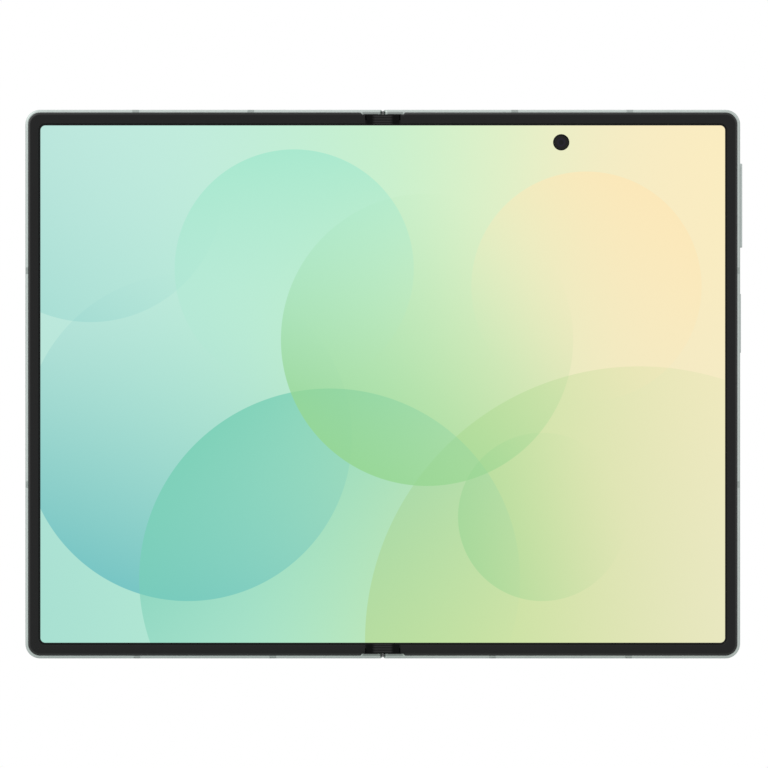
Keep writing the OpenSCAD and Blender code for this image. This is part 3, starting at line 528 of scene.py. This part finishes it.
def frostedGlass(name, colour, deep):  # etched glass over a coloured film, with fine sparkle
    finish = Finish(name, Coat_Roughness=0.22, Specular_IOR_Level=0.5)
    x, up, depth, place = finish.along()
    flakes = finish.add("TexVoronoi", {"feature": "F1"}, {"Vector": place, "Scale": 4.0})
    spark = flakes.step(0.16, 0.05) * 0.35
    film = finish.mix((up / (2 * halfHigh) + 0.5).clamped(), tone(deep), tone(colour))
    finish.set("Base_Color", finish.mix(spark, film, tone("#e9f5f0")))
    finish.set("Metallic", spark * 0.5)
    finish.set("Roughness", 0.44 - spark * 0.3)
    finish.set("Coat_Weight", finish.noise(place, 0.05, 2) * 0.1 + 0.2)
    finish.bump(finish.noise(place, 9.0, 2), grainRelief, 0.35)
    return finish.material


coverZones = {  # the outer display's camera, seen through its glass: rings from, to
    "ringOut": (1.95, 1.85),
    "ringIn": (1.55, 1.65),
    "pupil": (0.75, 0.65),
    "showCorner": 2,
    "showBlur": 0.1,
}


def clearBlackGlass(name, lensAt, showBox):  # the outer display, switched off, and its camera
    finish = Finish(name, Specular_IOR_Level=0.5)
    x, up, depth, place = finish.along()
    reach = reachFrom(x, up, lensAt)
    ring = reach.step(*coverZones["ringOut"]) * reach.step(*coverZones["ringIn"])
    pupil = reach.step(*coverZones["pupil"])
    low, high = showBox
    corner, blur = coverZones["showCorner"], coverZones["showBlur"]
    edge = cornerReach(x - (low.x + high.x) / 2, up - (low.y + high.y) / 2,
                       (high.x - low.x) / 2, (high.y - low.y) / 2, corner)
    show = edge.step(corner + blur, corner - blur)
    colour = finish.mix(show, tone("#0b0c0e"), tone("#101216"))
    colour = finish.mix(ring, colour, tone("#26292d"))
    colour = finish.mix(pupil, colour, tone("#181430"))
    finish.set("Base_Color", colour)
    finish.set("Roughness", finish.noise(place, 0.06, 3) * 0.05 + 0.03)
    return finish.material


def lensGlass(name, inner, outer, centre, radius, specular=0.6, coat=0.6):  # tinted towards the rim
    finish = Finish(name, Roughness=0.04, Coat_Weight=coat, Coat_Roughness=0.02,
                    Specular_IOR_Level=specular)
    x, up, depth, place = finish.along()
    stops = [(0.0, tone("#050509")), (0.32, tone("#08070d")), (0.5, tone(inner)),
             (0.78, tone(outer)), (1.0, tone("#040506"))]
    finish.set("Base_Color", finish.add("ValToRGB", {"stops": stops},
                                        {0: reachFrom(x, up, centre) / radius}))
    return finish.material


def clearGlass(name):
    finish = Finish(name, Base_Color=(1, 1, 1, 1), Transmission_Weight=1.0, IOR=1.45)
    finish.set("Roughness", finish.noise(finish.place(), 0.1, 2) * 0.03)
    return finish.material


def boardFinish(name):  # solder mask with tracks, pads and small parts
    finish = Finish(name, Coat_Weight=0.3, Coat_Roughness=0.2)
    x, up, depth, place = finish.along()
    z = up + halfHigh
    cells = finish.add("TexVoronoi", {"feature": "F1", "distance": "CHEBYCHEV"},
                       {"Vector": place, "Scale": 0.6})
    parts = cells.step(0.25, 0.2)
    tracks = (((x + z) * 1.6).sine() * ((x - z) * 0.7).sine()).step(0.1, 0.2)
    mask = finish.mix(tracks, tone("#124a31"), tone("#1d6a46"))
    finish.set("Base_Color", finish.mix(parts, mask, tone("#b8b09a")))
    finish.set("Metallic", parts * 0.7)
    finish.set("Roughness", 0.45 - parts * 0.15)
    finish.bump(parts + tracks * 0.3, 0.0001, 0.5)
    return finish.material


def foilFinish(name):  # battery wrap: creased foil
    finish = Finish(name, Metallic=0.35)
    creases = finish.noise(finish.place(), 0.12, 4)
    finish.set("Base_Color", finish.mix(creases, tone("#3c4044"), tone("#565b60")))
    finish.set("Roughness", creases * 0.2 + 0.3)
    finish.bump(creases, 0.0002, 0.4)
    return finish.material


def flashFinish(name, centre, apart=0.75):  # two dies under a lens with fine rings
    finish = Finish(name, Roughness=0.15, Coat_Weight=0.8, Coat_Roughness=0.05)
    x, up, depth, place = finish.along()
    left, right = [reachFrom(x + shift, up, centre).step(0.62, 0.5) for shift in (-apart, apart)]
    dies = (left + right).clamped()
    finish.set("Base_Color", finish.mix(dies, tone("#e6e4dc"), tone("#e8cf6a")))
    finish.bump((reachFrom(x, up, centre) * 22).sine() * 0.5 + 0.5, 0.00005, 0.4)
    return finish.material


def portFinish(name, shell):  # plated shell, dark tongue with gilt contacts
    finish = Finish(name)
    x, up, depth, place = finish.along()
    centre = (shell[0] + shell[1]) / 2
    across = x - centre.x
    tongue = abs(across).step(3.42, 3.38) * abs(depth - centre.z).step(0.42, 0.38)
    pads = (across * (2 * math.pi / 0.5)).sine().step(-0.1, 0.2)
    pads = pads * abs(across).step(2.9, 2.85) * tongue
    cloud = finish.noise(place, 2.0, 2)
    metal = finish.mix(cloud, tone("#8f9498"), tone("#a9aeb2"))
    colour = finish.mix(tongue, metal, tone("#141516"))
    finish.set("Base_Color", finish.mix(pads, colour, tone("#c9a24c")))
    finish.set("Metallic", (1 - tongue + pads).clamped())
    finish.set("Roughness", cloud * 0.1 + 0.28)
    return finish.material


# ---- sizes that the finishes and the pieces share ----

ringLow, ringHigh = flat("lens_rings")
ringRadius = (ringHigh.x - ringLow.x) / 2
lensX = middle("lens_rings").x
lensCentres = [(lensX, ringHigh.y - ringRadius), (lensX, ringLow.y + ringRadius)]

bezel = {  # half sizes from the phone's middle, and heights
    "wide": 80.05,
    "high": 61.30,
    "corner": 2.65,
    "cornerSteps": 10,
    "notch": (4.6, 5.05, 0.45),  # the edge lies lower beside the fold: from, to, by
    "openWide": 77.78,
    "openHigh": 58.88,
    "openCorner": 1.55,
    "wallTop": 4.735,
    "dome": (0.55, 7),  # how far in from the edge the top rises, and in how many steps
    "lip": (0.14, 0.12, 5),  # how the inner edge falls to the panel: width, depth, steps
    "ledge": (1.11, 4.2, 60.79, 60.99, 4.2, 4.77),  # beyond the fold bridge: x, y and z, from, to
    "ledgeCorner": 0.04,
    "panelWide": 78.55,
    "panelHigh": 59.65,
    "panelCorner": 2.2,
    "panelTop": 4.71,
}
bridge = {
    "half": 3.72,
    "grid": (64, 48),
    "near": 58.70,
    "far": 60.78,
    "low": 4.715,
    "side": 4.79,
    "middle": 4.895,
    "crown": 2.0,  # the middle stands higher as far as this from the fold
    "blend": 0.7,
    "rib": 59.30,  # where the first of the ribs along it is, and how far apart they are
    "ribPitch": 0.565,
    "ribDepth": 0.07,
    "edge": 0.2,  # its rim falls over this width, by this much
    "edgeDrop": 0.07,
    "foot": (2.72, 60.05, 60.78),  # where it stands on the spine cap: height, from, to
    "footCorner": 0.12,
    "footGap": 0.005,
}
paint = {
    "frame": frameFinish("frameMetal", "#c2ccc8"),
    "tray": satinMetal("trayMetal", "#c2ccc8"),
    "key": satinMetal("keyMetal", "#c4cdca", 0.34, 9.0),
    "antenna": grainedPlastic("antennaPlastic", "#9fa9a5", 0.5, 4.0, 2 * grainRelief),
    "bezel": bezelFinish("bezelPlastic", "#060707"),
    # the bridge's second colour is painted shade for its sides
    "bridge": bridgeRubber("bridgeRubber", "#0b0b0c", "#020303"),
    "screen": screenFinish("screenPanel", "Object"),
    "foldScreen": screenFinish("foldScreenPanel", "UV"),
    # the tab's colours are a painted highlight at its end and painted shade deeper in
    "tab": tabFinish("tabPlastic", "#aeb4b2", "#454a48"),
    "steel": brushedMetal("steelSheet", "#a2a5a7"),
    "spine": spineFinish("spineMetal", "#b4beba"),
    "hinge": brushedMetal("hingeSteel", "#8a8f92", 0.32, (1, 0.05, 1)),
    "brass": brushedMetal("pinionBrass", "#c3a766", 0.28),
    "screw": brushedMetal("screwSteel", "#55595c", 0.35, (0.2, 1, 1)),
    "rearGlass": frostedGlass("rearGlass", "#c6d9d1", "#b4cbc2"),
    "island": satinMetal("islandMetal", "#b3c1bb", 0.3, 8.0),
    "ring": turnedMetal("ringMetal", "#b6c2bd", lensCentres),
    "flash": flashFinish("flashWindow", middle("flash_window")),
    "coverGlass": clearBlackGlass("coverGlass", middle("cover_camera"), flat("cover_display")),
    "module": grainedPlastic("moduleBlack", "#1d1e20", 0.5, 2.0, 3 * grainRelief),
    "barrel": grainedPlastic("barrelBlack", "#0b0b0d", 0.3, 3.0),
    "collar": grainedPlastic("collarBlack", "#0d0c0b", 0.45, 4.0, polishRelief, 0.15),
    "foil": foilFinish("batteryFoil"),
    "board": boardFinish("circuitBoard"),
    "flex": grainedPlastic("flexBoard", "#9a7326", 0.35, 3.0),
    "plated": brushedMetal("platedSteel", "#a7abae", 0.25),
    "port": portFinish("portPlating", flat("usb_port")),
    "window": clearGlass("clearWindow"),
}
slotPaint = {
    "frame_metal": "frame", "key_metal": "key", "antenna_plastic": "antenna",
    "bezel_plastic": "bezel", "screen": "screen", "steel_sheet": "steel", "spine_metal": "spine",
    "hinge_steel": "hinge", "pinion_brass": "brass", "screw_steel": "screw",
    "rear_glass": "rearGlass", "camera_metal": "island", "lens_glass": "window",
    "flash_window": "flash", "cover_glass": "coverGlass", "module_black": "module",
    "battery_foil": "foil", "board": "board", "flex_board": "flex", "plated_steel": "plated",
}
nodePaint = {"usb_port": "port", "lens_rings": "ring", "sim_tray": "tray"}  # instead of the slot's
for row in frame["record"]["subparts"]:
    coats = nodes[row["node"]].data.materials
    coats.clear()
    coats.append(paint[nodePaint.get(row["node"], slotPaint[row["material_slot"]])])
print("phone: finishes on the CAD nodes")


# ---- modelling tools ----

def fresh(bm, known):  # the face that an operator has just made
    return next(face for face in bm.faces if face not in known)


def roundSheet(bm, halfX, halfY, radius, z=0.0, centre=(0, 0), steps=8):  # flat, with round corners
    known = set(bm.faces)
    verts = bmesh.ops.create_grid(bm, x_segments=1, y_segments=1, size=1)["verts"]
    bmesh.ops.scale(bm, vec=(halfX, halfY, 1), verts=verts)
    bmesh.ops.translate(bm, vec=(centre[0], centre[1], z), verts=verts)
    bmesh.ops.bevel(bm, geom=verts, offset=radius, offset_type="OFFSET", affect="VERTICES",
                    segments=steps, profile=0.5, material=-1)
    return fresh(bm, known)


def raised(bm, face, z):  # draws a face up to a height and gives its copy there
    made = bmesh.ops.extrude_face_region(bm, geom=[face])["geom"]
    top = next(item for item in made if isinstance(item, bmesh.types.BMFace))
    bmesh.ops.translate(bm, vec=(0, 0, z - top.verts[0].co.z), verts=top.verts)
    return top


def crowned(bm, face, steps):  # insets a face in (width, rise) steps
    for width, rise in steps:
        bmesh.ops.inset_region(bm, faces=[face], thickness=width, use_even_offset=True,
                               use_boundary=True)
        bmesh.ops.translate(bm, vec=(0, 0, rise), verts=face.verts)


def quarterRound(width, height, count):  # the steps of a rounded edge
    turns = [math.radians(90 * k / count) for k in range(count + 1)]
    return [(width * (math.cos(a) - math.cos(b)), height * (math.sin(b) - math.sin(a)))
            for a, b in zip(turns, turns[1:])]


def softCrown(width, height, count):  # steep at the edge, level at its end
    return [(width / count, height * ((1 - k / count) ** 2 - (1 - (k + 1) / count) ** 2))
            for k in range(count)]


def openFace(bm, face):  # takes a face away and leaves its edges
    edges = list(face.edges)
    bmesh.ops.delete(bm, geom=[face], context="FACES_ONLY")
    return edges


def drawn(bm, edges, rise=0.0):  # draws a loop of edges up or down, and gives the new loop
    made = bmesh.ops.extrude_edge_only(bm, edges=edges)["geom"]
    verts = [item for item in made if isinstance(item, bmesh.types.BMVert)]
    bmesh.ops.translate(bm, vec=(0, 0, rise), verts=verts)
    return [item for item in made if isinstance(item, bmesh.types.BMEdge)
            and all(vert in verts for vert in item.verts)]


def turned(bm, profile, centre, closed=False, steps=72):  # (radius, z) points spun round their axis
    verts = [bm.verts.new((centre[0] + r, centre[1], z)) for r, z in profile]
    pairs = list(zip(verts, verts[1:])) + ([(verts[-1], verts[0])] if closed else [])
    edges = [bm.edges.new(pair) for pair in pairs]
    bmesh.ops.spin(bm, geom=verts + edges, cent=(centre[0], centre[1], 0), axis=(0, 0, 1),
                   angle=2 * math.pi, steps=steps, use_merge=True)


def finished(bm, name, body, material, replaced=(), mirrored=False, smooth=32):  # an object
    if mirrored:
        bmesh.ops.scale(bm, vec=(-1, 1, 1), verts=bm.verts)
    bmesh.ops.remove_doubles(bm, verts=bm.verts, dist=0.001)
    bmesh.ops.transform(bm, matrix=standUp, verts=bm.verts)
    bmesh.ops.recalc_face_normals(bm, faces=bm.faces)
    mesh = bpy.data.meshes.new(name)
    bm.to_mesh(mesh)
    bm.free()
    mesh.polygons.foreach_set("use_smooth", [True] * len(mesh.polygons))
    mesh.set_sharp_from_angle(angle=math.radians(smooth))
    mesh.materials.append(material)
    piece = bpy.data.objects.new(name, mesh)
    bpy.context.scene.collection.objects.link(piece)
    if body:
        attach(piece, body)
    if replaced:
        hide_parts(*replaced)
    return piece


# ---- bezels ----

def makeBezel(side, mirrored):
    wide, high = bezel["wide"], bezel["high"]
    near, far, deep = bezel["notch"]
    outline = [(-wide, -high), (-far, -high), (-near, deep - high),
               (near, deep - high), (far, -high), (wide, -high)]
    outline += [(-x, -y) for x, y in outline]
    bm = bmesh.new()
    verts = [bm.verts.new((x, y, seatZ)) for x, y in outline]
    bm.faces.new(verts)
    corners = [verts[k] for k in (0, 5, 6, 11)]
    bmesh.ops.bevel(bm, geom=corners, offset=bezel["corner"], offset_type="OFFSET",
                    affect="VERTICES", segments=bezel["cornerSteps"], profile=0.5, material=-1)
    under = bm.faces[:][0]
    top = raised(bm, under, bezel["wallTop"])
    domeWide, domeSteps = bezel["dome"]
    crowned(bm, top, softCrown(domeWide, bezelTop - bezel["wallTop"], domeSteps))
    rim = openFace(bm, top)
    base = openFace(bm, under)
    width, depth, lipSteps = bezel["lip"]
    mouth = roundSheet(bm, bezel["openWide"] + width, bezel["openHigh"] + width,
                       bezel["openCorner"] + width, bezelTop)
    crowned(bm, mouth, [(inset, -fall) for inset, fall in softCrown(width, depth, lipSteps)[::-1]])
    inner = openFace(bm, mouth)
    outer = [edge for edge in bm.edges if edge.is_boundary and edge not in rim + base + inner]
    bmesh.ops.triangle_fill(bm, edges=rim + outer, use_beauty=True)
    foot = drawn(bm, inner, bezel["panelTop"] - bezelTop + depth)
    seat = openFace(bm, roundSheet(bm, bezel["panelWide"], bezel["panelHigh"], bezel["panelCorner"],
                                   bezel["panelTop"]))
    bmesh.ops.triangle_fill(bm, edges=foot + seat, use_beauty=True)
    low = drawn(bm, seat, seatZ - bezel["panelTop"])
    bmesh.ops.triangle_fill(bm, edges=base + low, use_beauty=True)
    bmesh.ops.bisect_plane(bm, geom=bm.verts[:] + bm.edges[:] + bm.faces[:], dist=1e-5,
                           plane_co=(foldHalf, 0, 0), plane_no=(1, 0, 0), clear_inner=True)
    bmesh.ops.holes_fill(bm, edges=[edge for edge in bm.edges if edge.is_boundary], sides=0)
    x0, x1, y0, y1, z0, z1 = bezel["ledge"]
    for sign in (-1, 1):
        ledge = roundSheet(bm, (x1 - x0) / 2, (y1 - y0) / 2, bezel["ledgeCorner"], z0,
                           ((x0 + x1) / 2, sign * (y0 + y1) / 2), 2)
        raised(bm, ledge, z1)
    finished(bm, side + "BezelTrim", side + "_half", paint["bezel"],
             [side + "_bezel"], mirrored, smooth=40)


makeBezel("right", False)
makeBezel("left", True)
print("phone: bezels")


# ---- fold bridges: the flexible bezel over the hinge ----

def bridgeHeight(x, y):
    rise = min(max((bridge["crown"] + bridge["blend"] - abs(x)) / bridge["blend"], 0), 1)
    rise = rise * rise * (3 - 2 * rise)
    wave = 0.5 - 0.5 * math.cos(2 * math.pi * (y - bridge["rib"]) / bridge["ribPitch"])
    inside = min(y - bridge["near"], bridge["far"] - y, bridge["edge"]) / bridge["edge"]
    crest = bridge["middle"] - bridge["side"] - bridge["ribDepth"] * wave
    return bridge["side"] + crest * rise - bridge["edgeDrop"] * (1 - inside) ** 2


def makeBridge(side, sign):
    bm = bmesh.new()
    half = (bridge["far"] - bridge["near"]) / 2
    columns, rows = bridge["grid"]
    bmesh.ops.create_grid(bm, x_segments=columns, y_segments=rows, size=1)
    bmesh.ops.scale(bm, vec=(bridge["half"], half, 1), verts=bm.verts)
    bmesh.ops.translate(bm, vec=(0, bridge["near"] + half, 0), verts=bm.verts)
    for vert in bm.verts:
        vert.co.z = bridgeHeight(vert.co.x, vert.co.y)
    under = drawn(bm, [edge for edge in bm.edges if edge.is_boundary])
    for vert in {vert for edge in under for vert in edge.verts}:
        vert.co.z = bridge["low"]
    bmesh.ops.edgeloop_fill(bm, edges=under)
    height, near, far = bridge["foot"]
    foot = roundSheet(bm, bridge["half"], (far - near) / 2, bridge["footCorner"], height,
                      (0, (near + far) / 2), 4)
    raised(bm, foot, bridge["low"] - bridge["footGap"])
    bmesh.ops.scale(bm, vec=(1, sign, 1), verts=bm.verts)
    finished(bm, side + "BridgeTrim", "spine", paint["bridge"],
             [side + "_fold_bridge"], smooth=60)


makeBridge("top", 1)
makeBridge("bottom", -1)


# ---- spine tabs: close the slit between the halves at both ends of the fold ----

tab = {
    "half": 0.13,
    "corner": 0.06,
    "low": 1.0,
    "steps": [(60.60, 61.46, 4.1), (61.42, 61.70, 4.6)],  # from, to, top
}


def makeTab(side, sign):
    bm = bmesh.new()
    for near, far, high in tab["steps"]:
        sheet = roundSheet(bm, tab["half"], (far - near) / 2, tab["corner"], tab["low"],
                           (0, sign * (near + far) / 2), 4)
        raised(bm, sheet, high)
    finished(bm, side + "SpineTab", "spine", paint["tab"])


makeTab("top", 1)
makeTab("bottom", -1)


# ---- the stretch of the screen that bends ----

foldGrid = (32, 24)


def makeFoldScreen(side, sign):
    low, high = flat("fold_screen")
    bm = bmesh.new()
    bmesh.ops.create_grid(bm, x_segments=foldGrid[0], y_segments=foldGrid[1], size=0.5)
    bmesh.ops.scale(bm, vec=(foldHalf, high.y - low.y, 1), verts=bm.verts)
    bmesh.ops.translate(bm, vec=(sign * foldHalf / 2, 0, low.z), verts=bm.verts)
    made = bmesh.ops.extrude_face_region(bm, geom=bm.faces[:])["geom"]
    bmesh.ops.translate(bm, vec=(0, 0, high.z - low.z),
                        verts=[item for item in made if isinstance(item, bmesh.types.BMVert)])
    piece = finished(bm, side + "FoldScreen", None, paint["foldScreen"], ["fold_screen"])
    rest = piece.data.uv_layers.new(name="rest")  # the design stays on the panel while it bends
    for loop in piece.data.loops:
        place = piece.data.vertices[loop.vertex_index].co
        rest.data[loop.index].uv = (place.x, place.z)
    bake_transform(piece)


makeFoldScreen("right", 1)
makeFoldScreen("left", -1)
print("phone: fold bridges and the bending screen")


# ---- keys on the right edge ----

keys = {
    "volume_key": (81.175, 9.5),  # outer face, half length
    "power_key": (80.875, 6.7),
    "inside": 79.5,
    "halfWide": 0.95,
    "corner": 0.855,
    "crown": (0.22, 0.24, 7),  # of the rounded edge: width, height, steps
}
outward = Matrix(((0, 0, 1, 0), (1, 0, 0, 0), (0, 1, 0, 0), (0, 0, 0, 1)))  # up becomes right


def makeKey(node):
    face, halfLong = keys[node]
    centre = middle(node)
    width, height, steps = keys["crown"]
    bm = bmesh.new()
    sheet = roundSheet(bm, halfLong, keys["halfWide"], keys["corner"], keys["inside"])
    crowned(bm, raised(bm, sheet, face - height), quarterRound(width, height, steps))
    bmesh.ops.transform(bm, matrix=outward, verts=bm.verts)
    bmesh.ops.translate(bm, vec=(0, centre.y, centre.z), verts=bm.verts)
    finished(bm, node.replace("_k", "K") + "Cap", node, paint["key"], [node])


makeKey("volume_key")
makeKey("power_key")
print("phone: keys")


# ---- rear cameras ----

lens = {  # (radius, height) round each lens's axis
    "ring": [(7.40, -1.28), (7.40, -1.72), (7.34, -1.86), (7.20, -1.96), (7.05, -2.00),
             (6.34, -2.00), (6.26, -1.98), (6.22, -1.92), (6.10, -1.92), (6.06, -1.98),
             (5.98, -2.00), (5.62, -2.00), (5.44, -1.97), (5.30, -1.88), (5.23, -1.76),
             (5.22, -1.70), (5.22, -1.28)],
    "window": [(0, -1.70), (5.06, -1.70), (5.16, -1.66), (5.18, -1.60), (5.18, -1.31), (0, -1.31)],
    "barrel": [(0, 0.55), (4.28, 0.55), (4.28, -1.24), (4.20, -1.28), (4.08, -1.28), (4.00, -1.20),
               (3.98, -0.98), (3.55, -0.94), (3.50, -0.90), (3.48, -0.70), (3.08, -0.66),
               (3.02, -0.62), (3.00, -0.40), (2.62, -0.36), (2.56, -0.32), (2.54, -0.20),
               (2.20, -0.16), (0.0, -0.16)],
    "element": (2.45, -0.24, -0.34, -0.20),  # radius, height and rise of its dome, other side
    "tints": [("#2b4a86", "#4a2a63"), ("#1f5560", "#34306e")],
}


def elementProfile(reach, base, rise, back):  # a curved glass
    turns = [math.radians(a) for a in range(0, 91, 9)]
    dome = [(reach * math.sin(a), base + rise * math.cos(a)) for a in turns]
    return dome + [(reach, back), (0, back)]


def makeTurned(name, profile, centre, material, replaced=(), closed=False):
    bm = bmesh.new()
    turned(bm, profile, centre, closed)
    finished(bm, name, "right_half", material, replaced)


for k, centre in enumerate(lensCentres):
    end = str(k)
    makeTurned("lensRing" + end, lens["ring"], centre, paint["ring"],
               ["lens_rings"], closed=True)
    makeTurned("lensWindow" + end, lens["window"], centre, paint["window"],
               ["lens_windows"])
    makeTurned("lensBarrel" + end, lens["barrel"], centre, paint["barrel"],
               ["rear_cameras"])
    coated = lensGlass("lensCoating" + end, *lens["tints"][k], centre, lens["element"][0])
    makeTurned("lensElement" + end, elementProfile(*lens["element"]), centre, coated,
               ["rear_cameras"])
print("phone: rear cameras")


# ---- front camera in the punch hole ----

frontLens = {
    "collar": [(1.84, 4.45), (1.84, 4.66), (1.81, 4.69), (1.62, 4.69), (1.57, 4.68), (1.50, 4.65),
               (1.46, 4.62), (1.45, 4.58), (1.45, 4.45)],
    "element": (1.44, 4.62, 0.05, 4.46),
    "tints": ("#1b1428", "#14100c"),
    "shine": (0.2, 0.1),
}
punch = middle("front_camera")
makeTurned("punchCollar", frontLens["collar"], punch, paint["collar"], closed=True)
coated = lensGlass("punchCoating", *frontLens["tints"], punch, frontLens["element"][0],
                   *frontLens["shine"])
makeTurned("punchElement", elementProfile(*frontLens["element"]), punch, coated)
print("phone: all pieces made")
